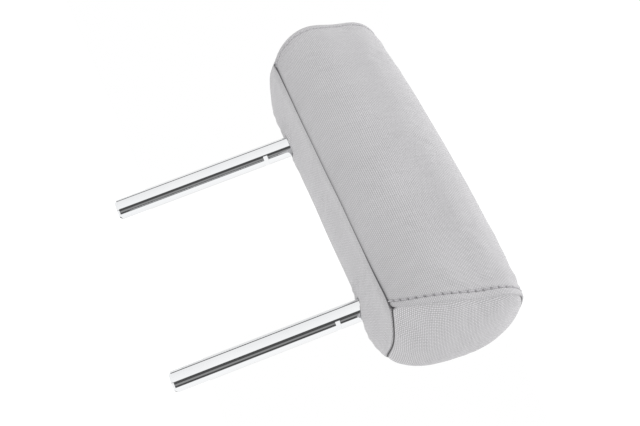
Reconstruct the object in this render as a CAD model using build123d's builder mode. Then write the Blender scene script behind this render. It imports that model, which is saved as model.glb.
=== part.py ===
from build123d import *
import os

# Head restraint: a sewn, foam-filled pad on one bent steel tube whose two legs are the mounting posts.
# Millimetres. +Z up along the posts, +X across the width, the padded front faces -Y.
# The origin is midway between the posts, in the plane where they leave the pad's underside.

# --- posts ------------------------------------------------------------------------------------------
post_d = 14.0
post_spacing = 150.0
post_length = 124.5            # exposed, from the pad's underside to the tip
tube_wall = 3.0
crossbar_z = 56.0
bend_r = 26.0
nose_wall = 3.5                # steel left at the closed tip
nose_chamfer = 1.6
dimple_r = 1.3
dimple_depth = 0.6
notch_z = -16.5                # height notch for the seat's catch, on the +X side of both legs
notch_width = 3.0
notch_depth = 1.9
groove_z = 3.0                 # locking groove, just inside the pad, that the core's collars grip
groove_width = 2.5
groove_depth = 0.5

# --- pad outline in (y, z), from the front lower seam up over the top and down the rear ----------------
front_seam = (-45.0, 12.5)
outline_corners = (front_seam, (-57.5, 28.0), (-56.5, 62.0), (-33.0, 90.5), (9.0, 91.5), (24.0, 60.0),
                   (23.5, 14.0), (12.0, 0.0), (-13.0, 0.0), (-26.0, 7.5))
outline_radii = (30.0, 34.0, 24.0, 22.0, 50.0, 14.0, 18.0, 20.0, 30.0)   # of every corner but the first
end_front_view = ((118.0, -2.0), (133.0, 50.0), (122.0, 100.0))          # the pad's end in (x, z)
end_plan_view = ((122.0, -60.0), (132.0, -24.0), (106.0, 26.0))          # and in (x, y)
end_edge_r = 5.0

# --- cover --------------------------------------------------------------------------------------------
cover_thickness = 2.0
lower_seam_z = 13.4            # seam all round: the bottom panel is below it
end_seam = ((109.0, -2.0), (125.0, 50.0), (115.0, 100.0))                # end seam in (x, z)
seam_width = 0.8
topstitch_inset = 5.0          # from an end seam to its row of stitches
thread_d = 0.8
thread_depth = 1.2             # seam thread below the cover's surface
post_hole_r = 8.0

# --- core ---------------------------------------------------------------------------------------------
core_width = 182.0
core_low_z = 16.0
core_high_z = 68.0
core_half_depth = 9.6
core_corner_r = 8.0
core_wall = 2.4
channel_r = 9.2                # outside of the trough and collars that hold the tube
screw_xs = (-56.0, -19.0, 19.0, 56.0)
screw_z = 33.0
screw_r = 1.5
screw_hole_r = 1.7
screw_length = 15.0
screw_head_r = 3.2
screw_head_height = 1.9
boss_r = 4.6

# --- closure strips behind the rear lower seam, outlines in (y, z) ----------------------------------------
closure_length = 160.0
hook_outline = ((11.2, 14.2), (12.5, 14.2), (12.5, 21.3), (14.3, 21.3), (14.3, 18.2), (15.5, 18.2),
                (15.5, 22.6), (11.2, 22.6))
catch_outline = ((12.8, 15.6), (17.4, 15.6), (17.4, 28.0), (16.1, 28.0), (16.1, 16.9), (14.0, 16.9),
                 (14.0, 20.9), (12.8, 20.9))
closure_pocket_y = (10.8, 18.0)
closure_pocket_z = (13.9, 29.0)

post_r = post_d / 2
post_x = post_spacing / 2
bore_r = post_r - tube_wall
far = 400.0                    # longer than anything here
os.makedirs("parts", exist_ok=True)


def end_to_end(plane, curve, inset):
    """Everything between the pad's two ends, whose curve is drawn in plane and drawn in by inset."""
    with BuildPart() as span:
        with BuildSketch(plane.offset(-far / 2)):
            with BuildLine():
                right = ThreePointArc(*[(x - inset, v) for x, v in curve])
                left = ThreePointArc(*[(inset - x, v) for x, v in curve])
                Line(right @ 0, left @ 0)
                Line(right @ 1, left @ 1)
            make_face()
        extrude(amount=far)
    return span.part


def pad_solid(inset):
    """The pad's form with every surface drawn in by inset and its end edges rounded."""
    with BuildPart() as form:
        with BuildSketch(Plane.YZ.offset(-far / 2)):
            with BuildLine():
                Polyline(*outline_corners, close=True)
            make_face()
            for corner, radius in zip(outline_corners[1:], outline_radii):
                fillet(vertices().sort_by_distance((*corner, 0))[0], radius)
            if inset:
                offset(amount=-inset, kind=Kind.INTERSECTION)
        extrude(amount=far)
        add(end_to_end(Plane.XZ, end_front_view, inset), mode=Mode.INTERSECT)
        add(end_to_end(Plane.XY, end_plan_view, inset), mode=Mode.INTERSECT)
        end_faces = [face for face in form.faces() if abs(face.center().X) > post_spacing / 2]
        rims = [edge for face in end_faces for edge in face.edges()]
        fillet(rims, end_edge_r - inset)
    return form.part


def slab(plane, low, high):
    """Everything between two offsets of a plane."""
    with BuildPart() as layer:
        with BuildSketch(plane.offset(low)):
            Rectangle(far, far)
        extrude(amount=high - low)
    return layer.part


def wider(curve, distance):
    """An end curve moved outwards by distance."""
    return tuple((x + distance, v) for x, v in curve)


def save(piece, name):
    """Label a finished piece and write it."""
    piece.label = name
    export_step(piece, f"parts/{name}.step")


# --- forms that several pieces share ---------------------------------------------------------------------
half_seam = seam_width / 2
half_thread = thread_d / 2
pad_form = pad_solid(0)
foam_form = pad_solid(cover_thickness)
cover_shell = pad_form - foam_form
surface_layer = pad_form - pad_solid(thread_d)
deep_layer = pad_solid(thread_depth) - foam_form
above_lower_seam = slab(Plane.XY, lower_seam_z + half_seam, far / 2)
below_lower_seam = slab(Plane.XY, -far / 2, lower_seam_z - half_seam)
inside_end_seams = end_to_end(Plane.XZ, wider(end_seam, -half_seam), 0)
to_end_seams = end_to_end(Plane.XZ, wider(end_seam, half_seam), 0)

with BuildPart() as tube_envelope:
    with BuildLine() as centreline:
        FilletPolyline((-post_x, 0, -post_length), (-post_x, 0, crossbar_z), (post_x, 0, crossbar_z),
                       (post_x, 0, -post_length), radius=bend_r)
    with BuildSketch(Plane.XY.offset(-post_length)):
        with Locations((-post_x, 0)):
            Circle(post_r)
    sweep(path=centreline.wire())
    with BuildSketch(Plane.XY.offset(groove_z)):
        with Locations((-post_x, 0), (post_x, 0)):
            Circle(post_r + 1)
            Circle(post_r - groove_depth, mode=Mode.SUBTRACT)
    extrude(amount=groove_width, mode=Mode.SUBTRACT)

# --- post frame: one tube, bent twice inside the pad, its ends closed to a nose -----------------------------
with BuildPart() as post_frame:
    add(tube_envelope.part)
    chamfer(post_frame.edges().group_by(Axis.Z)[0], nose_chamfer)
    bore_end = nose_wall - post_length
    with BuildLine() as bore_line:
        FilletPolyline((-post_x, 0, bore_end), (-post_x, 0, crossbar_z), (post_x, 0, crossbar_z),
                       (post_x, 0, bore_end), radius=bend_r)
    with BuildSketch(Plane.XY.offset(bore_end)):
        with Locations((-post_x, 0)):
            Circle(bore_r)
    sweep(path=bore_line.wire(), mode=Mode.SUBTRACT)
    with Locations((-post_x, 0, -post_length), (post_x, 0, -post_length)):
        Cone(dimple_r, dimple_r / 4, dimple_depth, align=(Align.CENTER, Align.CENTER, Align.MIN),
             mode=Mode.SUBTRACT)
    with Locations(*[(side + post_r, 0, notch_z) for side in (-post_x, post_x)]):
        Box(2 * notch_depth, post_d, notch_width, mode=Mode.SUBTRACT)
save(post_frame.part, "post_frame")


# --- core: two ribbed trays that clasp the tube, held together by four screws --------------------------------
def core_half(side, screw_hole):
    """The core's half on the -Y side (-1) or the +Y side (1)."""
    middle = (0, (core_low_z + core_high_z) / 2)
    height = core_high_z - core_low_z
    inner_depth = core_half_depth - core_wall
    with BuildPart() as half:
        with BuildSketch(Plane.XZ):
            with Locations(middle):
                RectangleRounded(core_width, height, core_corner_r)
        extrude(amount=-side * core_half_depth)
        with BuildSketch(Plane.XZ):
            with Locations(middle):
                RectangleRounded(core_width - 2 * core_wall, height - 2 * core_wall, core_corner_r - core_wall)
        extrude(amount=-side * inner_depth, mode=Mode.SUBTRACT)
        with BuildLine() as trough_line:
            FilletPolyline((-post_x, 0, core_low_z), (-post_x, 0, crossbar_z), (post_x, 0, crossbar_z),
                           (post_x, 0, core_low_z), radius=bend_r)
        with BuildSketch(Plane.XY.offset(core_low_z)):
            with Locations((-post_x, 0)):
                Circle(channel_r)
        sweep(path=trough_line.wire())
        with BuildSketch(Plane.XY.offset(groove_z)):
            with Locations((-post_x, 0), (post_x, 0)):
                Circle(channel_r)
        extrude(amount=core_low_z - groove_z + core_wall)
        with BuildSketch(Plane.XZ):
            with Locations(*[(x, screw_z) for x in screw_xs]):
                Circle(boss_r)
        extrude(amount=-side * core_half_depth)
        with BuildSketch(Plane.XZ):
            Rectangle(far, far)
        extrude(amount=side * far / 2, mode=Mode.SUBTRACT)
        add(tube_envelope.part, mode=Mode.SUBTRACT)
        with BuildSketch(Plane.XZ):
            with Locations(*[(x, screw_z) for x in screw_xs]):
                Circle(screw_hole)
        extrude(amount=-side * (core_half_depth if side > 0 else inner_depth), mode=Mode.SUBTRACT)
        if side > 0:
            with BuildSketch(Plane.XZ.offset(-core_half_depth)):
                with Locations(*[(x, screw_z) for x in screw_xs]):
                    Circle(screw_head_r)
            extrude(amount=screw_head_height, mode=Mode.SUBTRACT)
    return half.part


save(core_half(-1, screw_r), "core_front_shell")
save(core_half(1, screw_hole_r), "core_rear_shell")

with BuildPart() as core_screws:
    with BuildSketch(Plane.XZ.offset(-core_half_depth)):
        with Locations(*[(x, screw_z) for x in screw_xs]):
            Circle(screw_head_r)
    extrude(amount=screw_head_height)
    with BuildSketch(Plane.XZ.offset(-core_half_depth)):
        with Locations(*[(x, screw_z) for x in screw_xs]):
            Circle(screw_r)
    extrude(amount=screw_length)
save(core_screws.part, "core_screws")

# --- foam pad, moulded round the core, with a pocket for the closure strips ----------------------------------
with BuildPart() as foam_pad:
    add(foam_form)
    with BuildSketch(Plane.XZ.offset(-core_half_depth)):
        with Locations((0, (core_low_z + core_high_z) / 2)):
            RectangleRounded(core_width, core_high_z - core_low_z, core_corner_r)
    extrude(amount=2 * core_half_depth, mode=Mode.SUBTRACT)
    with BuildSketch(Plane.XY):
        with Locations((-post_x, 0), (post_x, 0)):
            Circle(channel_r)
    extrude(amount=core_low_z, mode=Mode.SUBTRACT)
    with BuildSketch(Plane.YZ.offset(-closure_length / 2)):
        with BuildLine():
            (low_y, high_y), (low_z, high_z) = closure_pocket_y, closure_pocket_z
            Polyline((low_y, low_z), (high_y, low_z), (high_y, high_z), (low_y, high_z), close=True)
        make_face()
    extrude(amount=closure_length, mode=Mode.SUBTRACT)
save(foam_pad.part, "foam_pad")

# --- cover ----------------------------------------------------------------------------------------------------
with BuildPart() as stitch_rows:
    add(surface_layer)
    add(end_to_end(Plane.XZ, wider(end_seam, half_thread - topstitch_inset), 0), mode=Mode.INTERSECT)
    add(end_to_end(Plane.XZ, wider(end_seam, -half_thread - topstitch_inset), 0), mode=Mode.SUBTRACT)
    add(above_lower_seam, mode=Mode.INTERSECT)

with BuildPart() as main_panel:
    add(cover_shell)
    add(above_lower_seam, mode=Mode.INTERSECT)
    add(inside_end_seams, mode=Mode.INTERSECT)
    add(stitch_rows.part, mode=Mode.SUBTRACT)
save(main_panel.part, "main_panel")

with BuildPart() as end_panels:
    add(cover_shell)
    add(above_lower_seam, mode=Mode.INTERSECT)
    add(to_end_seams, mode=Mode.SUBTRACT)

with BuildPart() as bottom_panel:
    add(cover_shell)
    add(below_lower_seam, mode=Mode.INTERSECT)
    with BuildSketch(Plane.XY.offset(-1)):
        with Locations((-post_x, 0), (post_x, 0)):
            Circle(post_hole_r)
    extrude(amount=lower_seam_z, mode=Mode.SUBTRACT)
save(bottom_panel.part, "bottom_panel")

# --- threads ---------------------------------------------------------------------------------------------------
with BuildPart() as end_seam_threads:
    add(deep_layer)
    add(to_end_seams, mode=Mode.INTERSECT)
    add(inside_end_seams, mode=Mode.SUBTRACT)
    add(above_lower_seam, mode=Mode.INTERSECT)

with BuildPart() as lower_seam_thread:
    add(deep_layer)
    add(slab(Plane.XY, lower_seam_z - half_seam, lower_seam_z + half_seam), mode=Mode.INTERSECT)
save(lower_seam_thread.part, "lower_seam_thread")

for name, side in (("left", -1), ("right", 1)):
    for pair, what in ((end_panels, "side_panel"), (stitch_rows, "top_stitching"),
                       (end_seam_threads, "seam_thread")):
        with BuildPart() as one_end:
            add(pair.part)
            split(bisect_by=Plane.YZ, keep=Keep.TOP if side > 0 else Keep.BOTTOM)
        save(one_end.part, f"{name}_{what}")

# --- closure: two interlocking strips along the rear lower seam -------------------------------------------------
for name, strip_outline in (("closure_hook_strip", hook_outline), ("closure_catch_strip", catch_outline)):
    with BuildPart() as strip:
        with BuildSketch(Plane.YZ.offset(-closure_length / 2)):
            with BuildLine():
                Polyline(*strip_outline, close=True)
            make_face()
        extrude(amount=closure_length)
    save(strip.part, name)
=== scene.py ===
"""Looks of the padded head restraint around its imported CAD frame.

The cover is four sewn panels over a foam bolster: a main panel that wraps the front, top and
back, a bottom panel that the two posts come out of, and an end panel at each end. Lengths are
in millimetres until a mesh is made. Axes are those of the CAD: X along the pad, the padded
face towards -Y, the posts down along -Z.
"""
import math

import bmesh
import bpy
import numpy as np
from mathutils import Matrix, Vector


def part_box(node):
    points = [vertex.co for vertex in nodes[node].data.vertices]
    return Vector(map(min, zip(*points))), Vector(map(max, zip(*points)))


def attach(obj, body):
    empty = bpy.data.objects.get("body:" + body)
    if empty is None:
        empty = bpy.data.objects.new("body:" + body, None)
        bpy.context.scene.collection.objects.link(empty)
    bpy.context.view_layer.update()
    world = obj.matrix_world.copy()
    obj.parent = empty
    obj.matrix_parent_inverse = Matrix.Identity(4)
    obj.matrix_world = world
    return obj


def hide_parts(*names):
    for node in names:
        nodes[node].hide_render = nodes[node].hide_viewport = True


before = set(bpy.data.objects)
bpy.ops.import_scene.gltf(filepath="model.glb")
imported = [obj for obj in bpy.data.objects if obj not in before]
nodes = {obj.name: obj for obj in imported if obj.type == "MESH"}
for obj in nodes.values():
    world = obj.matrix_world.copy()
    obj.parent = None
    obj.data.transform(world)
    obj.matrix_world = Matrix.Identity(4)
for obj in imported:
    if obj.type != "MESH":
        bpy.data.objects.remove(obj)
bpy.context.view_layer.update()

MM = 0.001
BODY = "root"

# ---------------------------------------------------------------- sizes taken from the frame
post_lo, post_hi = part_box("post_frame")
post_r = 7.0                      # radius of a post, as in the frame
post_x = post_hi.x / MM - post_r
cover_back = max(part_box(n)[1].y for n in ("main_panel", "bottom_panel")) / MM
cover_low = min(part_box(n)[0].z for n in ("main_panel", "bottom_panel")) / MM

# ---------------------------------------------------------------- shape of the pad
# Outline of one end seam, from the front lower corner up the padded face, over the top and
# down the back: half width, distance in front of the back, height above the underside, and
# how far the cover stands out beyond that line in the middle of the pad.
OUTLINE = np.array([
    (112.0, 68.5, 11.5, 0.5),     # front lower corner, the only sharp one
    (119.5, 74.0, 21.0, 7.0),
    (127.0, 76.0, 42.0, 8.0),     # fullest part of the padded face
    (128.5, 68.0, 62.0, 10.0),
    (128.5, 61.5, 79.0, 8.0),
    (127.0, 53.0, 86.2, 5.5),     # shoulder above the face
    (124.0, 41.5, 88.2, 5.0),     # top
    (121.5, 24.5, 83.5, 4.5),
    (119.0, 10.0, 65.0, 5.0),     # back
    (113.0, 5.0, 39.5, 5.0),
    (108.5, 9.0, 12.5, 6.0),      # hem of the main panel
    (110.5, 15.5, 4.0, 2.6),
    (117.0, 32.5, 3.4, 0.5),      # underside, in front of the posts
    (120.5, 50.0, 7.0, -3.5),
])
HEM_POINT = 10
FLANK_POINT = 5                   # the end seam is nearly flush below this point
CROWN_POWER = 3.2                 # how far along the pad the crown stays full
END_BULGE = 14.5                  # fullness of the end panels beyond the mean half width
END_POWER = 3.0
END_CENTRE = np.array((-15.5, 43.0))   # (y, z) of the end panels' middle
END_R = 46.0                      # furthest distance from there to the end seam
CORNER_OUT = (-0.6, -0.8)         # (y, z) direction that faces out of the front lower corner

# ---------------------------------------------------------------- sewing
CELL = 0.85                       # spacing of the panels' mesh
EDGE_ROWS = (0.0, 0.3, 0.6, 0.95, 1.35, 1.85, 2.4, 3.0, 3.6)
STITCH_ROWS = (4.1, 6.7, 0.5)     # start, stop and step of more rows, at the top stitching
SEAM_DEEP = 1.5                   # depth of an open seam's groove
SEAM_FLUSH = 0.3                  # depth where the seam lies nearly flush
SEAM_ROLL = 0.85                  # half width of the groove
SEAM_DARK = 0.65                  # half width of the groove's shade
SEAM_PITCH = 3.2                  # length of a seam's stitches
ALLOWANCE = 3.0                   # cloth turned in behind a seam
SHADE_GAPE = 0.8                  # how much wider the low seam's shade is in the middle
FRONT_DARK, UNDER_DARK = 1.8, 2.0     # half width of the low seam's shade on its two sides
FRONT_SHADE, FRONT_REACH = 0.15, 17   # soft shade on the face above the low seam
UNDER_SHADE, UNDER_REACH = 0.20, 9    # and on the underside behind it

STITCH_IN = 5.0                   # top stitching, in from the end seam
STITCH_PITCH = 5.0
THREAD_R = 0.34
LEFT_PULL = 0.4                   # tightness of the left row, where the right row's is 1
FLANGE_UP = 0.22                  # height of the strip between end seam and stitching
SHOULDER_UP = 0.12                # what the pad's shoulder adds to it
VALLEY_DEEP, VALLEY_WIDE = 0.3, 1.2   # along the row of stitches
SWELL_UP, SWELL_IN, SWELL_WIDE = 0.15, 3.2, 1.8   # beside it, away from the seam
PIT_DEEP, PIT_WIDE = 0.7, 0.75    # at each needle hole

HEM_LAP = 7.0                     # how far the bottom panel runs on under the hem
HEM_STEP = 1.3                    # height of the hem above the bottom panel
HEM_STITCH = 0.5                  # depth of the hem's stitched line

HOLE_R = post_r + 0.08            # where the cloth closes round a post
HOLE_CUT = HOLE_R - 0.7           # radius that is cut away before the cloth is drawn in
HOLE_REACH = 16.0                 # radius up to which the cloth is drawn in
UNDERSIDE_Z = 14                  # cloth below this height is the pad's underside
COLLAR_R = 9.2                    # collar of the core round each post
COLLAR_Z = 3.0                    # underside of that collar
COLLAR_CLEAR = 0.9                # how far under the collar the cloth starts out

# Fullness of the underside beyond the outline, beside each post and nearer the end: how far
# it stands out (right side, left side), how far in from the end seam, and half width.
FULL_BY_POST = (4.0, -1.2), 33, 14
FULL_BY_END = (3.4, 0.6), 14, 11
FULL_Y, FULL_WIDE = -4, 13        # where it is, front to back
FULL_BELOW = 20                   # only cloth below this height is made fuller

# Weave coordinates of a panel for each step on its surface; below 1 the yarns lie wider.
BOTTOM_WEAVE = (0.85, 0.80, 1.0)
END_WEAVE = ((0.868, 0.148, 0.0), (-0.148, 0.868, 0.0), (0.0, 0.0, 0.0))   # 10 degrees askew

SIDE = {-1: "left", 1: "right"}


def spline(knots, values, at):
    """Natural cubic spline through values (n, ...) at the knots, read at the places in `at`."""
    n = len(knots)
    flat = values.reshape(n, -1)
    step = np.diff(knots)
    matrix = np.zeros((n, n))
    right = np.zeros_like(flat)
    matrix[0, 0] = matrix[-1, -1] = 1
    for i in range(1, n - 1):
        matrix[i, i - 1:i + 2] = step[i - 1], 2 * (step[i - 1] + step[i]), step[i]
        right[i] = 6 * ((flat[i + 1] - flat[i]) / step[i] - (flat[i] - flat[i - 1]) / step[i - 1])
    bend = np.linalg.solve(matrix, right)
    i = np.clip(np.searchsorted(knots, at) - 1, 0, n - 2)
    h = step[i][:, None]
    a = (knots[i + 1] - at)[:, None] / h
    b = 1 - a
    read = (a * flat[i] + b * flat[i + 1]
            + ((a ** 3 - a) * bend[i] + (b ** 3 - b) * bend[i + 1]) * h ** 2 / 6)
    return read.reshape((len(at),) + values.shape[1:])


def unit(v):
    return v / np.maximum(np.linalg.norm(v, axis=-1, keepdims=True), 1e-9)


def smooth(x, lo, hi):
    t = np.clip((x - lo) / (hi - lo), 0, 1)
    return t * t * (3 - 2 * t)


def bell(x, width):
    return np.exp(-(x / width) ** 2)


def lengths(path):
    """Distance along a path from its first point to each point."""
    return np.r_[0, np.cumsum(np.linalg.norm(np.diff(path, axis=0), axis=1))]


# ---------------------------------------------------------------- the outline as a curve
ring = OUTLINE.copy()
ring[:, 1] = cover_back - ring[:, 1]
ring[:, 2] = cover_low + ring[:, 2]
ring = np.vstack([ring, ring[:1]])
ring_knots = lengths(ring[:, :3])
fine_knots = np.linspace(0, ring_knots[-1], 1600)
fine_ring = spline(ring_knots, ring, fine_knots)
fine_arc = lengths(fine_ring[:, :3])
GIRTH = fine_arc[-1]
hem_arc = np.interp(ring_knots[HEM_POINT], fine_knots, fine_arc)
flank_arc = np.interp(ring_knots[FLANK_POINT], fine_knots, fine_arc)


def from_corner(arc):
    """Distance along the end seam to the front lower corner, the shorter way round."""
    return np.minimum(arc, GIRTH - arc)


def outline(arc):
    """Half width, (y, z), crown and outward (y, z) normal of the end seam at an arc length.

    Towards the front lower corner the normal turns to face straight out of the corner."""
    knots = np.interp(arc, fine_arc, fine_knots)
    at = spline(ring_knots, ring, knots)
    ahead = spline(ring_knots, ring, np.minimum(knots + 0.5, fine_knots[-1]))
    behind = spline(ring_knots, ring, np.maximum(knots - 0.5, 0))
    along = unit(ahead[:, 1:3] - behind[:, 1:3])
    by_corner = bell(from_corner(arc), 6.0)[:, None]
    out = np.c_[-along[:, 1], along[:, 0]]
    out = unit(out * (1 - by_corner) + np.array(CORNER_OUT) * by_corner)
    return at[:, 0], at[:, 1:3], at[:, 3], out


def tube(arc, across, fullness=1.0):
    """Points of the wrapped part of the cover; across runs from -1 to 1 along the pad."""
    half, yz, crown, out = outline(arc)
    rise = fullness * crown[:, None] * (1 - np.abs(across)[None] ** CROWN_POWER)
    side = yz[:, None] + out[:, None] * rise[..., None]
    return np.concatenate([(half[:, None] * across[None])[..., None], side], axis=2)


mean_half = fine_ring[:, 0].mean()


def end(arc, reach, sign, fullness=1.0):
    """Points of an end panel; reach runs from 0 at its middle to 1 at the seam."""
    half, yz, _, _ = outline(arc)
    middle = mean_half + END_BULGE * fullness
    x = middle + (half[:, None] - middle) * reach[None] ** END_POWER
    side = END_CENTRE + (yz[:, None] - END_CENTRE) * reach[None, :, None]
    return np.concatenate([sign * x[..., None], side], axis=2)


def normals(grid):
    """Outward unit normals of a grid of points."""
    n = unit(np.cross(np.gradient(grid, axis=0), np.gradient(grid, axis=1)))
    away = grid - np.array((0, *END_CENTRE))
    return n * np.sign((n * away).sum())


def end_normals(grid, sign):
    """Outward unit normals of an end panel's grid."""
    n = normals(grid)
    return n * np.sign((n[..., 0] * sign).mean())


# ---------------------------------------------------------------- mesh helpers
def make(name, verts, faces, uvw=None, shade=None):
    """A mesh object from points in millimetres, with its weave and seam-shade attributes."""
    mesh = bpy.data.meshes.new(name)
    mesh.from_pydata((np.asarray(verts) * MM).tolist(), [], [tuple(map(int, f)) for f in faces])
    mesh.update()
    if uvw is not None:
        layer = mesh.attributes.new("weave", "FLOAT_VECTOR", "POINT")
        layer.data.foreach_set("vector", (np.asarray(uvw) * MM).astype(np.float32).ravel())
    if shade is not None:
        layer = mesh.attributes.new("seam_shade", "FLOAT", "POINT")
        layer.data.foreach_set("value", np.asarray(shade, np.float32).ravel())
    mesh.polygons.foreach_set("use_smooth", np.ones(len(mesh.polygons), bool))
    obj = bpy.data.objects.new(name, mesh)
    bpy.context.scene.collection.objects.link(obj)
    return obj


def grid_faces(rows, cols, closed=False):
    """Quads of a rows x cols grid of points; closed joins the last row to the first."""
    i = np.arange(rows if closed else rows - 1)[:, None]
    j = np.arange(cols - 1)[None]
    a, b = i * cols + j, ((i + 1) % rows) * cols + j
    return np.stack([a, b, b + 1, a + 1], axis=-1).reshape(-1, 4)


def spaced(length, first=EDGE_ROWS, last=EDGE_ROWS, cell=CELL):
    """Distances along a strip: close together at its edges, evenly spaced between them."""
    start, stop = first[-1], length - last[-1]
    between = np.linspace(start, stop, int(round((stop - start) / cell)) + 1)
    return np.r_[first[:-1], between, length - np.array(last[:-1])[::-1]]


def outward(obj):
    """Turns a piece's faces to point away from the middle of the pad."""
    mesh = obj.data
    centre = Vector((0, *END_CENTRE)) * MM
    facing = sum((p.center - centre).dot(p.normal) * p.area for p in mesh.polygons)
    if facing < 0:
        mesh.flip_normals()
    return obj


# ---------------------------------------------------------------- cloth simulation
SETTLE = 0.5                      # furthest the simulated cover may lie from the outline
SIM_CELL = 3.4
SIM_FRAMES = 20
DEFLATED = 0.72                   # fullness of the cover that the simulation starts from
SEWN_ROUND, SEWN_BELOW = 3, 12    # cloth this near a post's hole, and this low, is held
sim_arc = np.linspace(0, GIRTH, int(GIRTH / SIM_CELL) + 1)
sim_across = np.linspace(-1, 1, 2 * int(mean_half / SIM_CELL) + 1)
sim_reach = np.linspace(0, 1, 14)


def broad(field, cells=9):
    """The field averaged over a wide window: the form that the foam itself holds."""
    window = np.hanning(2 * cells + 3)[1:-1]
    window = window / window.sum()
    for axis in (0, 1):
        field = np.moveaxis(field, axis, 0)
        padded = np.pad(field, ((cells, cells), (0, 0)), mode="reflect")
        field = sum(w * padded[i:i + len(field)] for i, w in enumerate(window))
        field = np.moveaxis(field, 0, axis)
    return field


def closed_faces(rows, cols, rings):
    """Faces of the tube's grid and of both ends' grids, which share the tube's edge points."""
    faces = [tuple(f) for f in grid_faces(rows, cols, closed=True)]
    for k, seam in enumerate((0, cols - 1)):
        pole = rows * cols + k * rows * rings    # all rows of an end start at this one point

        def point(row, ring):
            if ring == rings:
                return row * cols + seam
            return pole + row * rings + ring if ring else pole

        for i in range(rows):
            j = (i + 1) % rows
            for r in range(rings):
                corners = (point(i, r), point(i, r + 1), point(j, r + 1), point(j, r))
                corners = tuple(dict.fromkeys(corners))
                faces.append(corners if k else corners[::-1])
    return faces


def add_cloth(cover, sewn):
    """Makes the cover a cloth under pressure, held where its vertex group says."""
    cloth = cover.modifiers.new("cloth", "CLOTH")
    s = cloth.settings
    s.quality = 6
    s.mass = 0.12
    s.air_damping = 2
    s.tension_stiffness = s.compression_stiffness = 5
    s.shear_stiffness = 2
    s.bending_stiffness = 0.5
    s.shrink_min = -0.03             # the cover is cut a little slack for the swelling foam
    s.use_pressure = True
    s.uniform_pressure_force = 40
    s.vertex_group_mass = sewn
    s.effector_weights.gravity = 0
    cloth.collision_settings.use_collision = False
    cloth.point_cache.frame_start, cloth.point_cache.frame_end = 1, SIM_FRAMES


def simulate():
    """Blows the cover up as cloth, sewn down at its seams and at the posts.

    Returns how far the settled cover lies outside the outline, on the tube's grid and on each
    end's grid, limited to SETTLE."""
    rows, cols, rings = len(sim_arc) - 1, len(sim_across), len(sim_reach) - 1
    aim = [tube(sim_arc[:-1], sim_across)]
    start = [tube(sim_arc[:-1], sim_across, DEFLATED)]
    for sign in SIDE:
        aim.append(end(sim_arc[:-1], sim_reach[:-1], sign))
        start.append(end(sim_arc[:-1], sim_reach[:-1], sign, DEFLATED))
    verts = np.vstack([g.reshape(-1, 3) for g in start])
    faces = closed_faces(rows, cols, rings)
    used = sorted({v for f in faces for v in f})
    where = {v: n for n, v in enumerate(used)}
    cover = make("cloth_cover", verts[used], [[where[v] for v in f] for f in faces])
    mesh = cover.data
    mesh.validate()
    bm = bmesh.new()
    bm.from_mesh(mesh)
    bmesh.ops.recalc_face_normals(bm, faces=bm.faces)
    bm.to_mesh(mesh)
    bm.free()

    pinned = []
    for i in range(rows):
        for j in range(cols):
            p = start[0][i, j]
            from_post = math.hypot(abs(p[0]) - post_x, p[1])
            by_post = from_post < HOLE_R + SEWN_ROUND and p[2] < SEWN_BELOW
            if j in (0, cols - 1) or i == 0 or by_post:
                pinned.append(where[i * cols + j])
    group = cover.vertex_groups.new(name="sewn")
    group.add(pinned, 1.0, "REPLACE")
    add_cloth(cover, group.name)
    scene = bpy.context.scene
    scene.frame_start, scene.frame_end = 1, SIM_FRAMES
    for f in range(1, SIM_FRAMES + 1):
        scene.frame_set(f)
    settled = cover.evaluated_get(bpy.context.evaluated_depsgraph_get())
    co = np.zeros(len(mesh.vertices) * 3)
    settled.data.vertices.foreach_get("co", co)
    co = co.reshape(-1, 3) / MM
    scene.frame_set(1)
    bpy.data.objects.remove(cover)

    fields = []
    offset = 0
    for grid in aim:
        n = normals(np.concatenate([grid, grid[:1]]))[:-1]
        index = offset + np.arange(grid.shape[0] * grid.shape[1])
        place = np.array([where.get(v, where[offset]) for v in index])
        gap = ((co[place].reshape(grid.shape) - grid) * n).sum(-1)
        gap = gap - broad(gap)
        gap = SETTLE * np.tanh(gap / SETTLE)
        fields.append(np.vstack([gap, gap[:1]]))
        offset += grid.shape[0] * grid.shape[1]
    return fields


settle_fields = simulate()


def settle(field, arc, arc_grid, other, other_grid):
    """A simulated field read on a finer grid."""
    down = spline(arc_grid, field, arc)
    return spline(other_grid, down.T.copy(), other).T


def settle_tube(arc, across):
    fade = smooth(1 - np.abs(across), 0, 0.08)[None] * smooth(from_corner(arc), 0.5, 12)[:, None]
    return settle(settle_fields[0], arc, sim_arc, across, sim_across) * fade


def settle_end(arc, reach, sign):
    field = settle_fields[1 if sign < 0 else 2]
    fade = 0.4 * smooth(1 - reach, 0, 0.15)[None] * smooth(reach, 0.1, 0.4)[None]
    return settle(field, arc, sim_arc, reach, sim_reach[:-1]) * fade


def hand(p, size=0.16):
    """Small unevenness of foam under cloth, a function of place."""
    x, y, z = p[..., 0], p[..., 1], p[..., 2]
    return size * (np.sin(x / 17 + 1.3 * np.sin(z / 21)) * np.sin((y + z) / 14 + 0.8)
                   + 0.6 * np.sin(x / 9.5 - z / 12 + 2.1) * np.sin(y / 11 + x / 31)
                   + 0.5 * np.sin(z / 7.5 + x / 13 + 0.4))


# ---------------------------------------------------------------- seams shared by the panels
def seam_depth(arc):
    """Depth of the end seam's groove: nearly flush along the padded face, deep elsewhere."""
    flush = smooth(arc, 0.5, 6) * (1 - smooth(arc, flank_arc - 6, flank_arc + 6))
    return SEAM_DEEP + (SEAM_FLUSH - SEAM_DEEP) * flush


def end_seam_out(arc, sign):
    """Direction that faces out of the end seam: halfway between its two panels."""
    near = 1 - np.array((3.0, 1.5, 0.0)) / mean_half
    side = normals(tube(arc, near if sign > 0 else -near[::-1]))
    side = side[:, -1] if sign > 0 else side[:, 0]
    cap = end_normals(end(arc, near, sign), sign)[:, -1]
    return unit(unit(side) + unit(cap))


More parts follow.
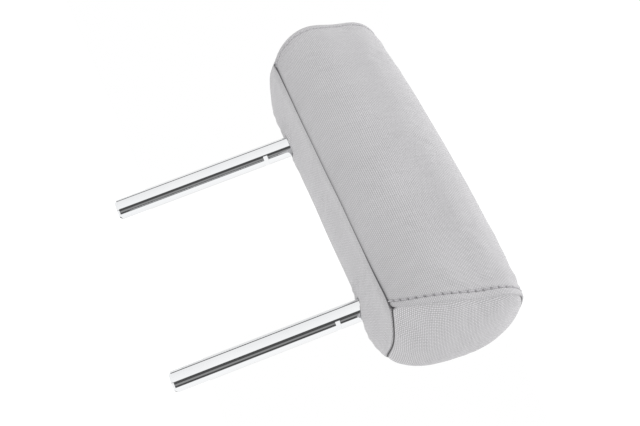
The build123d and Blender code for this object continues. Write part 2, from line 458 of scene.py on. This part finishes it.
def low_seam_out(across):
    """Direction that faces out of the front lower seam."""
    front = normals(tube(np.array((0.0, 1.5, 3.0)), across))[0]
    under = normals(tube(GIRTH - np.array((3.0, 1.5, 0.0)), across))[-1]
    return unit(front + under)


# Places across the pad for the tube's points: close together at the seams and the stitching.
edge_cols = np.r_[EDGE_ROWS, np.arange(*STITCH_ROWS)]
ACROSS = spaced(2 * mean_half, edge_cols, edge_cols) / mean_half - 1
SHADE_REACH = 1 + SHADE_GAPE * (1 - ACROSS ** 2)[None]     # the low seam gapes in its middle


def openness(depth):
    """0 where a seam lies flush, 1 where it is a full groove."""
    return np.clip((depth - SEAM_FLUSH) / (SEAM_DEEP - SEAM_FLUSH), 0, 1)


def shade_at(distance, depth):
    return openness(depth) * bell(distance, SEAM_DARK)


def tube_panel(arc, across, stitched):
    """Surface of the wrapped cover over a stretch of the outline, with its sewn details.

    Returns points, normals, distance from the nearer end seam, weave coordinates and shade."""
    grid = tube(arc, across)
    n = normals(grid)
    half = outline(arc)[0]
    distance = (1 - np.abs(across))[None] * half[:, None]
    grid = grid + n * (settle_tube(arc, across) + hand(grid) * smooth(distance, 1, 12))[..., None]
    depth = seam_depth(arc)[:, None]
    for sign in SIDE:
        on_side = (across * sign > 0)[None]
        groove = depth * bell(distance, SEAM_ROLL) * on_side
        grid = grid - groove[..., None] * end_seam_out(arc, sign)[:, None]
    shade = shade_at(distance, depth)
    if stitched:
        puff = FLANGE_UP + SHOULDER_UP * bell(arc - flank_arc - 4, 14)[:, None]
        flange = puff * (smooth(distance, 0.2, 1.6) - smooth(distance, 3.6, 4.9))
        pull = np.where(across < 0, LEFT_PULL, 1.0)[None]
        from_row = distance - STITCH_IN
        valley = VALLEY_DEEP * pull * bell(from_row, VALLEY_WIDE)
        swell = SWELL_UP * bell(from_row - SWELL_IN, SWELL_WIDE)
        from_hole = np.abs((arc + STITCH_PITCH / 2) % STITCH_PITCH - STITCH_PITCH / 2)[:, None]
        pit = pull * bell(from_hole, PIT_WIDE) * bell(from_row, PIT_WIDE)
        grid = grid + n * (flange - valley + swell - PIT_DEEP * pit)[..., None]
        shade = shade + pit + 0.06 * bell(from_row, 0.5)
    weave = np.stack([np.broadcast_to(arc[:, None], distance.shape),
                      across[None] * half[:, None], np.zeros_like(distance)], axis=-1)
    return grid, n, distance, weave, np.clip(shade, 0, 1)


def turn_in(edge, inner, out):
    """Two rows of points that carry a panel's edge into the seam, leaning to its own side."""
    lean = unit(inner - edge)
    return [edge - out * (ALLOWANCE * t) + lean * (0.25 + 0.2 * t) for t in (0.4, 1.0)]


def twice_at_ends(row):
    """A row with its first and last point given twice more, to match the turned-in columns."""
    return np.concatenate([row[:1], row[:1], row, row[-1:], row[-1:]])


def with_seam_edges(grid, weave, shade, arc):
    """Adds the turned-in columns at the two end seams of a tube panel."""
    first = turn_in(grid[:, 0], grid[:, 3], end_seam_out(arc, -1))
    last = turn_in(grid[:, -1], grid[:, -4], end_seam_out(arc, 1))
    cols = [first[1], first[0], *np.moveaxis(grid, 1, 0), last[0], last[1]]
    grid = np.stack(cols, axis=1)
    weave = np.concatenate([weave[:, :1]] * 2 + [weave] + [weave[:, -1:]] * 2, axis=1)
    one = np.ones_like(shade[:, :1])
    shade = np.concatenate([one, one, shade, one, one], axis=1)
    return grid, weave, shade


# ---------------------------------------------------------------- main panel
def main_panel():
    arc = spaced(hem_arc)
    grid, n, distance, weave, shade = tube_panel(arc, ACROSS, stitched=True)
    out = low_seam_out(ACROSS)
    groove = SEAM_DEEP * bell(arc, SEAM_ROLL)[:, None]
    grid = grid - groove[..., None] * out[None]
    shade = np.maximum(shade, bell(arc[:, None] / SHADE_REACH, FRONT_DARK))
    shade = shade + FRONT_SHADE * bell(arc, FRONT_REACH)[:, None]
    to_hem = (hem_arc - arc)[:, None]
    lap = HEM_STEP * smooth(HEM_LAP + 5 - to_hem, 0, 5) - HEM_STEP * bell(to_hem, 0.9)
    hem_stitch = HEM_STITCH * bell(to_hem - HEM_LAP + 1.5, 0.8)
    grid = grid + n * ((lap - hem_stitch) * smooth(distance, 0, 4))[..., None]
    shade = np.maximum(shade, 0.6 * bell(to_hem, 0.6))
    grid, weave, shade = with_seam_edges(grid, weave, shade, arc)
    rows = turn_in(grid[0], grid[3], twice_at_ends(out))
    tuck = grid[-1] - 2.0 * twice_at_ends(n[-1])
    grid = np.concatenate([rows[1][None], rows[0][None], grid, tuck[None]])
    weave = np.concatenate([weave[:1], weave[:1], weave, weave[-1:]])
    shade = np.concatenate([np.ones_like(shade[:2]), shade, np.ones_like(shade[:1])])
    return make("main_cover", grid.reshape(-1, 3), grid_faces(*grid.shape[:2]),
                weave.reshape(-1, 3), shade)


# ---------------------------------------------------------------- bottom panel
def full_corner(grid, distance):
    """How far the underside stands out beyond the outline beside the posts."""
    right = grid[..., 0] > 0
    full = sum(np.where(right, *height) * bell(distance - inward, wide)
               for height, inward, wide in (FULL_BY_POST, FULL_BY_END))
    full = full * bell(grid[..., 1] - FULL_Y, FULL_WIDE) * (grid[..., 2] < FULL_BELOW)
    return full * smooth(distance, 0, 5)


def faces_off_post(grid, side):
    """Which faces of a grid stay when the hole for the post at that side is cut."""
    middle = (grid[:-1, :-1] + grid[1:, :-1] + grid[:-1, 1:] + grid[1:, 1:]) / 4
    r = np.hypot(middle[..., 0] - side * post_x, middle[..., 1])
    return ~((r < HOLE_CUT - 0.45) & (middle[..., 2] < UNDERSIDE_Z))


def close_round_post(grid, shade, side):
    """Draws the cloth in to the post at that side, gathered and tucked. Changes the grid."""
    dx, dy = grid[..., 0] - side * post_x, grid[..., 1]
    r = np.hypot(dx, dy)
    angle = np.arctan2(dy, dx)
    change = (grid[..., 2] < UNDERSIDE_Z) & (r < HOLE_REACH)
    opened = HOLE_R + np.maximum(r - HOLE_CUT, 0) * (HOLE_REACH - HOLE_R) / (HOLE_REACH - HOLE_CUT)
    r_new = np.where(change, opened, r)
    from_post = r_new - HOLE_R
    gather = 0.15 * np.cos(9 * angle + 0.7) * np.exp(-from_post / 3.5)
    tucked = 0.3 * np.exp(-from_post / 0.5) + 0.2 * np.exp(-from_post / 4)
    scale = np.where(change, r_new / np.maximum(r, 1e-6), 1)
    grid[..., 0] = np.where(change, side * post_x + dx * scale, grid[..., 0])
    grid[..., 1] = np.where(change, dy * scale, grid[..., 1])
    under_collar = COLLAR_Z - COLLAR_CLEAR + 0.8 * np.maximum(r_new - COLLAR_R - 0.6, 0)
    near_collar = 1 - smooth(r_new, COLLAR_R + 1, HOLE_REACH)
    z = grid[..., 2]
    level = z + (np.minimum(z, under_collar) - z) * near_collar
    grid[..., 2] = np.where(change, level + tucked + gather, z)
    return np.maximum(shade, np.where(change, 0.95 * bell(from_post, 0.9), 0))


def bottom_panel():
    arc = hem_arc - HEM_LAP + spaced(GIRTH - hem_arc + HEM_LAP, first=(0.0, 0.8))
    grid, n, distance, weave, shade = tube_panel(arc, ACROSS, stitched=False)
    out = low_seam_out(ACROSS)
    to_front = (GIRTH - arc)[:, None]
    grid = grid - (SEAM_DEEP * bell(to_front, SEAM_ROLL))[..., None] * out[None]
    shade = np.maximum(shade, bell(to_front / SHADE_REACH, UNDER_DARK))
    shade = shade + UNDER_SHADE * bell(to_front - 2, UNDER_REACH)
    weave = weave * BOTTOM_WEAVE
    hollow = 1.1 * bell(to_front - 5.0, 3.2) * smooth(distance, 2, 14)
    under_hem = HEM_STEP * (1 - smooth(arc - hem_arc, -1, 3))[:, None]
    sink = hollow + under_hem * smooth(distance, 0, 4) - full_corner(grid, distance)
    grid = grid - n * sink[..., None]
    shade = np.maximum(shade, 0.7 * (1 - smooth(arc - hem_arc, -1, 1.2))[:, None])
    keep = np.ones((grid.shape[0] - 1, grid.shape[1] - 1), bool)
    for side in SIDE:
        keep &= faces_off_post(grid, side)
        shade = close_round_post(grid, shade, side)

    grid, weave, shade = with_seam_edges(grid, weave, shade, arc)
    rows = turn_in(grid[-1], grid[-4], twice_at_ends(out))
    grid = np.concatenate([grid, rows[0][None], rows[1][None]])
    weave = np.concatenate([weave, weave[-1:], weave[-1:]])
    shade = np.concatenate([shade, np.ones_like(shade[:2])])
    kept = np.ones((grid.shape[0] - 1, grid.shape[1] - 1), bool)
    kept[:keep.shape[0], 2:2 + keep.shape[1]] = keep
    faces = grid_faces(*grid.shape[:2])[kept.ravel()]
    used = np.unique(faces)
    place = np.zeros(grid.shape[0] * grid.shape[1], int)
    place[used] = np.arange(len(used))
    return make("bottom_cover", grid.reshape(-1, 3)[used], place[faces],
                weave.reshape(-1, 3)[used], shade.ravel()[used])


# ---------------------------------------------------------------- end panels
def end_panel(sign):
    arc = np.r_[spaced(hem_arc), hem_arc + spaced(GIRTH - hem_arc)[1:]]
    reach = 1 - spaced(END_R, first=EDGE_ROWS, last=(0.0,), cell=1.15)[::-1] / END_R
    reach = np.sort(reach[reach > 0.02])
    grid = end(arc, reach, sign)
    weave = grid[..., [1, 2, 0]] @ np.array(END_WEAVE)
    n = end_normals(grid, sign)
    distance = np.broadcast_to((1 - reach) * END_R, grid.shape[:2])
    uneven = hand(grid * 0.8 + 20 * sign, 0.25) * smooth(distance, 2, 12)
    grid = grid + n * (settle_end(arc, reach, sign) + uneven)[..., None]
    depth = seam_depth(arc)[:, None]
    out = end_seam_out(arc, sign)
    roll = bell(distance, SEAM_ROLL)
    grid = grid - (depth * roll)[..., None] * out[:, None]
    step = 0.5 * (1 - smooth(distance, 1.2, 4.5)) * smooth(distance, 0.2, 1.0)
    grid = grid - n * step[..., None]
    corner = low_seam_out(np.array((-1.0, -0.98, 0.98, 1.0)))[0 if sign < 0 else -1]
    by_corner = bell(from_corner(arc), SEAM_ROLL)[:, None]
    grid = grid - (SEAM_DEEP * by_corner * roll)[..., None] * corner
    shade = np.broadcast_to(shade_at(distance, depth), grid.shape[:2])
    rows = turn_in(grid[:, -1], grid[:, -4], out)
    grid = np.concatenate([grid, rows[0][:, None], rows[1][:, None]], axis=1)[:-1]
    weave = np.concatenate([weave, weave[:, -1:], weave[:, -1:]], axis=1)[:-1]
    shade = np.concatenate([shade, np.ones_like(shade[:, :2])], axis=1)[:-1]
    faces = [tuple(f) for f in grid_faces(*grid.shape[:2], closed=True)]
    cols = grid.shape[1]
    verts = np.vstack([grid.reshape(-1, 3), grid[:, 0].mean(0)[None]])
    weave = np.vstack([weave.reshape(-1, 3), weave[:, 0].mean(0)[None]])
    shade = np.r_[shade.ravel(), 0]
    faces += [(i * cols, ((i + 1) % len(grid)) * cols, len(verts) - 1)[::-1]
              for i in range(len(grid))]
    return make(f"{SIDE[sign]}_end_cover", verts, faces, weave, shade)


# ---------------------------------------------------------------- threads
def rod(path, radii, sides=8):
    """Points and faces of a tube along a path, closed at both ends."""
    path = np.asarray(path, float)
    along = unit(np.gradient(path, axis=0))
    side = unit(np.cross(along, np.array((0.31, 0.54, 0.78))))
    up = np.cross(along, side)
    turn = np.linspace(0, 2 * math.pi, sides, endpoint=False)
    around = (np.cos(turn)[None, :, None] * side[:, None]
              + np.sin(turn)[None, :, None] * up[:, None])
    points = path[:, None] + around * np.asarray(radii)[:, None, None]
    faces = []
    for i in range(len(path) - 1):
        for j in range(sides):
            k = (j + 1) % sides
            faces.append((i * sides + j, i * sides + k, (i + 1) * sides + k, (i + 1) * sides + j))
    faces.append(tuple(range(sides))[::-1])
    faces.append(tuple((len(path) - 1) * sides + j for j in range(sides)))
    length = lengths(path)
    weave = np.stack([np.broadcast_to(length[:, None], points.shape[:2]),
                      np.broadcast_to(turn[None], points.shape[:2]),
                      np.zeros(points.shape[:2])], axis=-1)
    return points.reshape(-1, 3), faces, weave.reshape(-1, 3)


def join_rods(name, rods):
    verts, faces, weave, count = [], [], [], 0
    for v, f, w in rods:
        faces += [tuple(i + count for i in face) for face in f]
        verts.append(v)
        weave.append(w)
        count += len(v)
    return make(name, np.vstack(verts), faces, np.vstack(weave))


# One stitch at seven places: where along the row, how high, and how thick for its thread.
STITCH_ALONG = np.array((-2.15, -1.85, -1.2, 0.0, 1.2, 1.85, 2.15))
STITCH_LIFT = np.array((-1.1, -0.35, 0.12, 0.26, 0.12, -0.35, -1.1))
STITCH_THICK = np.array((0.7, 0.9, 1, 1.03, 1, 0.9, 0.7))


def top_stitching(sign):
    """One row of stitches along the main panel, each a short thread between two holes."""
    rods = []
    for k in range(1, int((hem_arc - 2) / STITCH_PITCH) + 1):
        middle = (k - 0.5) * STITCH_PITCH
        arc = middle + STITCH_ALONG
        half = outline(np.array([middle]))[0][0]
        inset = 1 - STITCH_IN / half
        strip = np.sort(sign * (inset + np.array((-0.01, 0, 0.01))))
        surface = tube(arc, strip)
        n = normals(surface)[:, 1]
        base = surface[:, 1] + n * (settle_tube(arc, strip)[:, 1] - 0.3)[:, None]
        path = base + n * (STITCH_LIFT + THREAD_R * 0.55)[:, None]
        rods.append(rod(path, THREAD_R * STITCH_THICK))
    return join_rods(f"{SIDE[sign]}_stitch_row", rods)


def seam_thread(name, line, out, depth):
    """The sewing thread down in a seam: a strand that narrows where it passes through."""
    length = lengths(line)
    radii = THREAD_R * (0.72 + 0.28 * np.abs(np.sin(math.pi * length / SEAM_PITCH)))
    sunk = depth - 0.12 + 1.1 * (1 - openness(depth))
    return join_rods(name, [rod(line - out * sunk[:, None], radii, 6)])


def end_seam_thread(sign):
    arc = np.arange(1.5, GIRTH - 1.5, 0.8)
    line = tube(arc, np.array((-1.0, 1.0)))[:, 1 if sign > 0 else 0]
    name = f"{SIDE[sign]}_seam_strand"
    return seam_thread(name, line, end_seam_out(arc, sign), seam_depth(arc))


def low_seam_thread():
    across = np.linspace(-0.985, 0.985, 280)
    line = tube(np.array((0.0, 1.0)), across)[0]
    return seam_thread("lower_seam_strand", line, low_seam_out(across),
                       np.full(len(across), SEAM_DEEP))


# ---------------------------------------------------------------- foam
FOAM_IN = 3.2                     # how far inside the cover the foam's surface lies


def foam():
    """The foam bolster: the cover's form, a little inside it."""
    arc = np.linspace(0, GIRTH, int(GIRTH / 4) + 1)[:-1]
    across = np.linspace(-1, 1, 61)
    reach = np.linspace(0, 1, 12)[1:-1]
    wrap = tube(np.r_[arc, GIRTH], across)
    n = normals(wrap)[:-1]
    wrap = wrap[:-1]
    for sign, col in ((-1, 0), (1, -1)):
        n[:, col] = end_seam_out(arc, sign) * 1.3
    n[0] = low_seam_out(across) * 1.2
    wrap = wrap - n * FOAM_IN
    rows, cols = wrap.shape[:2]
    verts = [wrap.reshape(-1, 3)]
    faces = [tuple(f) for f in grid_faces(rows, cols, closed=True)]
    count = rows * cols
    for sign, col in ((-1, 0), (1, cols - 1)):
        cap = end(np.r_[arc, GIRTH], reach, sign)
        cap = (cap - end_normals(cap, sign) * FOAM_IN)[:-1]
        pole = cap[:, 0].mean(0)
        verts += [cap.reshape(-1, 3), pole[None]]
        k = len(reach)
        for i in range(rows):
            j = (i + 1) % rows
            loop = [(count + i * k + r, count + i * k + r + 1,
                     count + j * k + r + 1, count + j * k + r) for r in range(k - 1)]
            loop.append((count + i * k + k - 1, i * cols + col, j * cols + col,
                         count + j * k + k - 1))
            loop.append((count + j * k, count + rows * k, count + i * k))
            faces += [f if sign > 0 else f[::-1] for f in loop]
        count += rows * k + 1
    verts = np.vstack(verts)
    return make("foam_bolster", verts, faces, verts)


# ---------------------------------------------------------------- materials
class Nodes:
    """Short names for building a node tree."""

    def __init__(self, tree):
        self.tree = tree

    def add(self, kind, inputs=(), output=0, **settings):
        node = self.tree.nodes.new(kind)
        for key, value in settings.items():
            setattr(node, key, value)
        for key, value in dict(inputs).items():
            self.put(node.inputs[key], value)
        return node.outputs[output]

    def put(self, socket, value):
        if isinstance(value, bpy.types.NodeSocket):
            self.tree.links.new(value, socket)
        else:
            socket.default_value = value

    def math(self, operation, *values):
        return self.add("ShaderNodeMath", dict(enumerate(values)), operation=operation)

    def split(self, vector):
        """The three parts of a vector."""
        node = self.tree.nodes.new("ShaderNodeSeparateXYZ")
        self.put(node.inputs[0], vector)
        return node.outputs

    def noise(self, vector, scale, detail=2.0):
        inputs = {"Vector": vector, "Scale": scale, "Detail": detail}
        return self.add("ShaderNodeTexNoise", inputs)

    def scaled(self, vector, scale):
        return self.add("ShaderNodeVectorMath", {0: vector, 1: scale}, operation="MULTIPLY")

    def ramp(self, value, low, high, to_low=0.0, to_high=1.0):
        inputs = {"Value": value, "From Min": low, "From Max": high,
                  "To Min": to_low, "To Max": to_high}
        return self.add("ShaderNodeMapRange", inputs)

    def mix(self, factor, a, b):
        node = self.tree.nodes.new("ShaderNodeMix")
        node.data_type = "RGBA"
        for socket, value in ((node.inputs[0], factor), (node.inputs[6], a), (node.inputs[7], b)):
            self.put(socket, value)
        return node.outputs[2]

    def bump(self, height, strength, distance, under=None):
        inputs = {"Height": height, "Strength": strength, "Distance": distance}
        if under is not None:
            inputs["Normal"] = under
        return self.add("ShaderNodeBump", inputs)


class Surface(Nodes):
    """A material of one Principled shader."""

    def __init__(self, name):
        self.material = bpy.data.materials.new(name)
        self.material.use_nodes = True
        super().__init__(self.material.node_tree)
        self.shader = self.tree.nodes["Principled BSDF"]

    def finish(self, **sockets):
        for key, value in sockets.items():
            self.put(self.shader.inputs[key.replace("_", " ")], value)
        return self.material


def grey(level, tint=0.0):
    """A grey of that linear level, a little towards violet for a positive tint."""
    return (level, level * (1 - tint), level * (1 + tint), 1)


WEFT_PITCH = 1.06 * MM             # thick yarns along the pad, one above another
WARP_PITCH = 0.81 * MM             # finer yarns up the pad
WARP_LIGHTER = 0.12                # how much lighter the finer yarns are


def woven(name, light, dark):
    """Plain-woven upholstery cloth whose threads follow the panel's weave attribute."""
    g = Surface(name)
    place = g.add("ShaderNodeAttribute", output=1, attribute_name="weave")
    wander = g.noise(place, 45.0, 1.0)
    coarse = g.scaled(place, (1 / WEFT_PITCH, 1 / WARP_PITCH, 1.0))
    along, up, _ = g.split(coarse)
    drift = g.math("MULTIPLY", g.math("SUBTRACT", wander, 0.5), 0.3)
    u = g.math("ADD", along, drift)
    v = g.math("SUBTRACT", up, drift)
    cell = g.math("ADD", g.math("FLOOR", u), g.math("FLOOR", v))
    warp = g.math("FLOORED_MODULO", cell, 2.0)
    fu, fv = g.math("FRACT", u), g.math("FRACT", v)

    def hump(f, floor):
        centred = g.math("MULTIPLY_ADD", f, 2.0, -1.0)
        square = g.math("MULTIPLY", centred, centred)
        return g.math("MULTIPLY_ADD", square, floor - 1.0, 1.0)

    warp_height = g.math("MULTIPLY", hump(fu, 0.0), hump(fv, 0.2))
    weft_height = g.math("MULTIPLY", hump(fv, 0.0), hump(fu, 0.2))
    lift = g.math("SUBTRACT", warp_height, weft_height)
    height = g.math("MULTIPLY_ADD", lift, warp, weft_height)
    fibres = g.noise(g.scaled(place, (2600.0, 2600.0, 1.0)), 1.0, 3.0)
    slub = g.noise(g.scaled(place, (60.0, 420.0, 1.0)), 1.0, 2.0)
    cloud = g.noise(place, 22.0, 2.0)
    tone = g.math("MULTIPLY_ADD", height, 0.85, 0.02)
    tone = g.math("ADD", tone, g.math("MULTIPLY_ADD", fibres, 0.36, -0.18))
    tone = g.math("ADD", tone, g.math("MULTIPLY_ADD", slub, 0.14, -0.07))
    tone = g.math("ADD", tone, g.math("MULTIPLY_ADD", cloud, 0.14, -0.07))
    tone = g.math("ADD", tone, g.math("MULTIPLY_ADD", warp, WARP_LIGHTER, 0.06))
    colour = g.mix(g.ramp(tone, 0.0, 1.0), dark, light)
    shade = g.add("ShaderNodeAttribute", output=2, attribute_name="seam_shade")
    colour = g.mix(g.math("MULTIPLY", shade, 0.85), colour, grey(0.075, 0.03))
    relief = g.bump(height, 0.75, 0.00022)
    relief = g.bump(fibres, 0.35, 0.00006, relief)
    return g.finish(Base_Color=colour, Roughness=g.ramp(height, 0.0, 1.0, 0.96, 0.80),
                    Normal=relief, Sheen_Weight=0.22, Sheen_Roughness=0.45,
                    Specular_IOR_Level=0.25)


TWIST_PITCH = 0.9 * MM             # length of one turn of a thread's plies


def thread_material(name, level):
    """Twisted polyester thread: fine slanting plies."""
    g = Surface(name)
    place = g.add("ShaderNodeAttribute", output=1, attribute_name="weave")
    length, turn, _ = g.split(place)
    along = g.math("MULTIPLY", length, 2 * math.pi / TWIST_PITCH)
    around = g.math("MULTIPLY", turn, 1 / MM)
    ply = g.math("SINE", g.math("MULTIPLY_ADD", around, 2.0, along))
    fluff = g.noise(place, 900.0, 2.0)
    tone = g.math("MULTIPLY_ADD", ply, 0.3, fluff)
    colour = g.mix(g.ramp(tone, 0.1, 0.9), grey(level * 0.7, 0.02), grey(level * 1.25, 0.02))
    return g.finish(Base_Color=colour, Roughness=g.ramp(fluff, 0.0, 1.0, 0.55, 0.8),
                    Normal=g.bump(ply, 0.6, 0.00012), Sheen_Weight=0.1)


def object_place(g):
    return g.add("ShaderNodeTexCoord", output=3)


def chrome():
    """Bright chromium plate with faint polishing lines and a few rubbed places."""
    g = Surface("chrome_plate")
    place = object_place(g)
    lines = g.noise(g.scaled(place, (900.0, 900.0, 14.0)), 1.0, 3.0)
    haze = g.noise(place, 38.0, 2.0)
    rough = g.math("MULTIPLY_ADD", haze, 0.05, g.ramp(lines, 0.3, 0.8, 0.015, 0.06))
    colour = g.mix(haze, (0.74, 0.75, 0.765, 1), (0.80, 0.805, 0.81, 1))
    return g.finish(Base_Color=colour, Metallic=1.0, Roughness=rough,
                    Normal=g.bump(lines, 0.04, 0.00002))


def moulded(name, level, metallic=0.0, base_roughness=0.5):
    """Moulded plastic or plated steel with a fine grain."""
    g = Surface(name)
    place = object_place(g)
    grain = g.noise(place, 1500.0, 2.0)
    flow = g.noise(g.scaled(place, (30.0, 30.0, 90.0)), 1.0, 2.0)
    colour = g.mix(flow, grey(level * 0.8), grey(level * 1.2))
    rough = g.ramp(grain, 0.2, 0.8, base_roughness - 0.1, base_roughness + 0.12)
    return g.finish(Base_Color=colour, Metallic=metallic, Roughness=rough,
                    Normal=g.bump(grain, 0.3, 0.00005))


def foam_material():
    """Open-celled grey foam."""
    g = Surface("cut_foam")
    place = object_place(g)
    cells = g.add("ShaderNodeTexVoronoi", {"Vector": place, "Scale": 900.0})
    colour = g.mix(g.ramp(cells, 0.0, 0.7), grey(0.12), grey(0.30))
    return g.finish(Base_Color=colour, Roughness=g.ramp(cells, 0.0, 0.7, 0.85, 0.95),
                    Normal=g.bump(cells, 0.6, 0.0004))


def dress(obj, material):
    obj.data.materials.clear()
    obj.data.materials.append(material)
    return obj


cloth_face = woven("cover_cloth", grey(0.70, 0.012), grey(0.24, 0.012))
stitch_thread = thread_material("stitch_thread", 0.52)
# The seam strands are real thread but made near black: painted shade for the dark grooves they lie
# in
seam_thread_painted_shade = thread_material("seam_thread", 0.06)

# ---------------------------------------------------------------- the pieces
covers = {
    "main_panel": main_panel(), "bottom_panel": bottom_panel(),
    "left_side_panel": end_panel(-1), "right_side_panel": end_panel(1)}
for node, piece in covers.items():
    dress(outward(piece), cloth_face)
    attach(piece, BODY)
    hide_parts(node)

threads = {
    "left_top_stitching": (top_stitching(-1), stitch_thread),
    "right_top_stitching": (top_stitching(1), stitch_thread),
    "left_seam_thread": (end_seam_thread(-1), seam_thread_painted_shade),
    "right_seam_thread": (end_seam_thread(1), seam_thread_painted_shade),
    "lower_seam_thread": (low_seam_thread(), seam_thread_painted_shade)}
for node, (piece, material) in threads.items():
    dress(piece, material)
    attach(piece, BODY)
    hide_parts(node)

bolster = dress(foam(), foam_material())
outward(bolster)
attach(bolster, BODY)
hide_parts("foam_pad")

dress(nodes["post_frame"], chrome())
black_plastic = moulded("core_polypropylene", 0.03)
for name in ("core_front_shell", "core_rear_shell"):
    dress(nodes[name], black_plastic)
tape = moulded("closure_tape", 0.05, base_roughness=0.75)
for name in ("closure_hook_strip", "closure_catch_strip"):
    dress(nodes[name], tape)
dress(nodes["core_screws"], moulded("zinc_plate", 0.55, metallic=1.0, base_roughness=0.35))

# ---------------------------------------------------------------- studio
floor_z = post_lo.z - 0.20
bpy.ops.mesh.primitive_plane_add(size=8, location=(0, 0, floor_z))
floor = bpy.context.object
floor.name = "studio_floor"
paper = Surface("white_paper")
speckle = paper.noise(object_place(paper), 6.0, 2.0)
dress(floor, paper.finish(Base_Color=paper.mix(speckle, grey(0.90), grey(0.93)), Roughness=0.9,
                          Emission_Color=(1, 1, 1, 1), Emission_Strength=0.24))
floor.visible_glossy = floor.visible_diffuse = floor.visible_shadow = False


# Dark gaps between the soft panels that the chrome mirrors: each from one angle to another
# round the object, in degrees, with the width of its soft edges and how dark it is. The first
# list is at the height of the object, the second below it.
LEVEL_GAPS = ((-56, -24, 4, 1.0), (-14, 14, 5, 1.0), (-40, 0, 6, 0.78),
              (-171, -154, 4, 1.0), (130, 160, 8, 0.3), (96, 128, 8, 0.3))
LOW_GAPS = ((100, 128, 6, 1.0), (22, 50, 6, 1.0), (-165, -140, 6, 1.0), (-62, -30, 6, 1.0))


def darkest_gap(g, angle, gaps):
    """How dark the darkest of the gaps is at an angle, from 0 to 1."""
    darkest = 0.0
    for start, stop, soft, depth in gaps:
        a, b, edge = math.radians(start), math.radians(stop), math.radians(soft)
        rise = g.ramp(angle, a, a + edge)
        fall = g.ramp(angle, b - edge, b, 1.0, 0.0)
        gap = g.math("MULTIPLY", g.math("MULTIPLY", rise, fall), depth)
        darkest = g.math("MAXIMUM", darkest, gap)
    return darkest


def studio_world():
    """A studio that is white to the camera. The low gaps are there for mirrored rays only."""
    world = bpy.data.worlds.new("studio")
    world.use_nodes = True
    bpy.context.scene.world = world
    world.node_tree.nodes.clear()
    g = Nodes(world.node_tree)
    x, y, z = g.split(g.add("ShaderNodeTexCoord", output=0))
    angle = g.math("ARCTAN2", y, x)
    from_level = g.math("ABSOLUTE", g.math("SUBTRACT", z, 0.02))
    at_level = g.ramp(from_level, 0.11, 0.20, 1.0, 0.0)
    dark = g.math("MULTIPLY", darkest_gap(g, angle, LEVEL_GAPS), at_level)
    soft = g.ramp(z, -0.5, 0.5, 1.16, 1.13)
    soft = g.math("MULTIPLY", soft, g.math("MULTIPLY_ADD", x, 0.06, 1.0))
    light = g.math("MULTIPLY", soft, g.math("MULTIPLY_ADD", dark, -0.93, 1.0))
    downward = g.ramp(z, -0.25, -0.18, 0.85, 0.0)
    mirrored = g.add("ShaderNodeLightPath", output=3)
    low = g.math("MULTIPLY", darkest_gap(g, angle, LOW_GAPS), downward)
    low = g.math("MULTIPLY", low, mirrored)
    light = g.math("MULTIPLY", light, g.math("SUBTRACT", 1.0, low))
    seen = g.add("ShaderNodeLightPath")
    strength = g.math("MAXIMUM", light, seen)
    back = g.add("ShaderNodeBackground", {"Color": (1, 1, 1, 1), "Strength": strength})
    out = g.tree.nodes.new("ShaderNodeOutputWorld")
    g.put(out.inputs[0], back)


studio_world()


def area_light(name, place, size, power):
    data = bpy.data.lights.new(name, "AREA")
    data.size = size
    data.energy = power
    light = bpy.data.objects.new(name, data)
    light.location = place
    light.rotation_euler = (-Vector(place)).to_track_quat("-Z", "Y").to_euler()
    bpy.context.scene.collection.objects.link(light)


area_light("top_softbox", (0.15, 0.25, 1.3), 1.2, 8.0)

# ---------------------------------------------------------------- camera
camera_distance = 0.82
azimuth, rise, roll = math.radians(39.3), math.radians(4.75), math.radians(69.2)
forward = Vector((-math.sin(azimuth) * math.cos(rise), math.cos(azimuth) * math.cos(rise),
                  math.sin(rise)))
level_right = forward.cross(Vector((0, 0, 1))).normalized()
level_up = level_right.cross(forward)
right = level_right * math.cos(roll) + level_up * math.sin(roll)
up = right.cross(forward)
aim = Vector((-0.0033, -0.0070, 0.0015))
camera_data = bpy.data.cameras.new("camera")
camera_data.lens = 70.3
camera_data.sensor_width = 36
camera_data.clip_start = 0.01
camera = bpy.data.objects.new("camera", camera_data)
bpy.context.scene.collection.objects.link(camera)
turned = Matrix((right, up, -forward)).transposed().to_4x4()
camera.matrix_world = Matrix.Translation(aim - forward * camera_distance) @ turned
bpy.context.scene.camera = camera
bpy.context.scene.view_settings.view_transform = "Standard"
